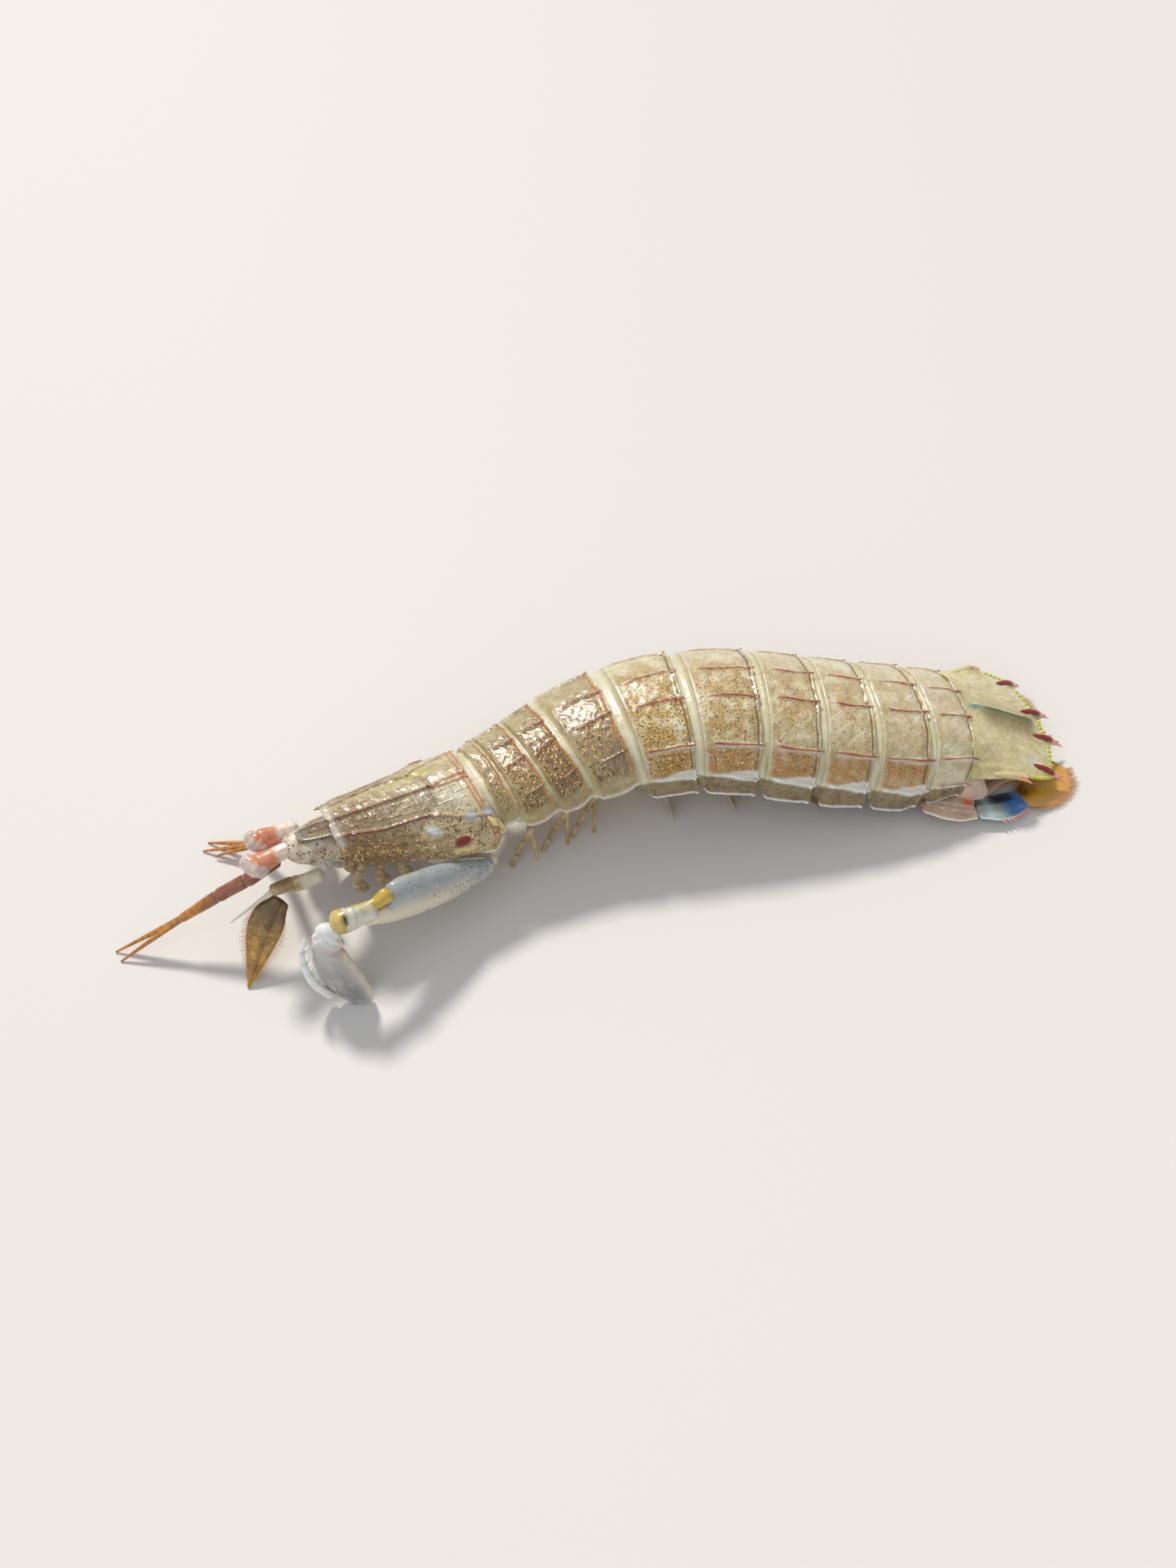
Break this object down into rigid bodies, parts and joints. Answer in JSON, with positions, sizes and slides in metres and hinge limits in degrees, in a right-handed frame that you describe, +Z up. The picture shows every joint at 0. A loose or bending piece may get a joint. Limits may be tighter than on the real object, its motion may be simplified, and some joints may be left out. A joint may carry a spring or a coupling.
{
  "type": "mantis shrimp model",
  "caption": "Still, life-size museum model of a mantis shrimp lying on its swimming limbs, with the left claw reaching forward and the tail fan lowered.",
  "frame": {"origin": "on the floor, under the middle of the bounding box", "axes": "+X towards the tail, along the longest extent; the left side of the animal faces -Y; +Z up"},
  "size_m": [0.1413, 0.061, 0.0208],
  "materials": {
    "shell": "wet translucent shell, olive cream with fine golden and dark specks",
    "abdomen_shell": "wet translucent shell, pale green cream with red-brown keels",
    "underbody": "pale flesh-coloured soft shell",
    "limb_shell": "thin olive limb shell",
    "claw_shell": "milky blue-white claw shell",
    "claw_joint": "yellow soft joint",
    "eyestalk_shell": "clear pinkish stalk",
    "cornea": "glossy orange cornea",
    "feeler": "red-brown feeler, orange at the tips",
    "antennal_scale": "mustard brown leaf",
    "tail_shell": "pale yellow-green tail plate with pink tips",
    "tail_fan": "amber paddle with a blue patch"
  },
  "bodies": {
    "root": {"carapace": "shell", "trunk": "underbody", "head": "underbody", "rostral_plate": "shell", "thorax_5": "shell", "thorax_6": "shell", "thorax_7": "shell", "thorax_8": "shell", "abdomen_1": "abdomen_shell", "abdomen_2": "abdomen_shell", "abdomen_3": "abdomen_shell", "abdomen_4": "abdomen_shell", "abdomen_5": "abdomen_shell", "abdomen_6": "abdomen_shell", "telson": "tail_shell", "eyestalk_left": "eyestalk_shell", "cornea_left": "cornea", "antennule_left": "feeler", "antenna_left": "limb_shell", "antennal_scale_left": "antennal_scale", "claw_merus_left": "claw_shell", "claw_carpus_left": "claw_joint", "claw_propodus_left": "claw_shell", "claw_dactylus_left": "claw_shell", "uropod_stem_left": "tail_shell", "uropod_blade_left": "tail_fan", "maxilliped_3_left": "limb_shell", "maxilliped_4_left": "limb_shell", "maxilliped_5_left": "limb_shell", "walking_leg_1_left": "limb_shell", "walking_leg_2_left": "limb_shell", "walking_leg_3_left": "limb_shell", "pleopod_1_left": "limb_shell", "pleopod_2_left": "limb_shell", "pleopod_3_left": "limb_shell", "pleopod_4_left": "limb_shell", "pleopod_5_left": "limb_shell", "eyestalk_right": "eyestalk_shell", "cornea_right": "cornea", "antennule_right": "feeler", "antenna_right": "limb_shell", "antennal_scale_right": "antennal_scale", "claw_merus_right": "claw_shell", "claw_carpus_right": "claw_joint", "claw_propodus_right": "claw_shell", "claw_dactylus_right": "claw_shell", "uropod_stem_right": "tail_shell", "uropod_blade_right": "tail_fan", "maxilliped_3_right": "limb_shell", "maxilliped_4_right": "limb_shell", "maxilliped_5_right": "limb_shell", "walking_leg_1_right": "limb_shell", "walking_leg_2_right": "limb_shell", "walking_leg_3_right": "limb_shell", "pleopod_1_right": "limb_shell", "pleopod_2_right": "limb_shell", "pleopod_3_right": "limb_shell", "pleopod_4_right": "limb_shell", "pleopod_5_right": "limb_shell"}
  },
  "joints": []
}
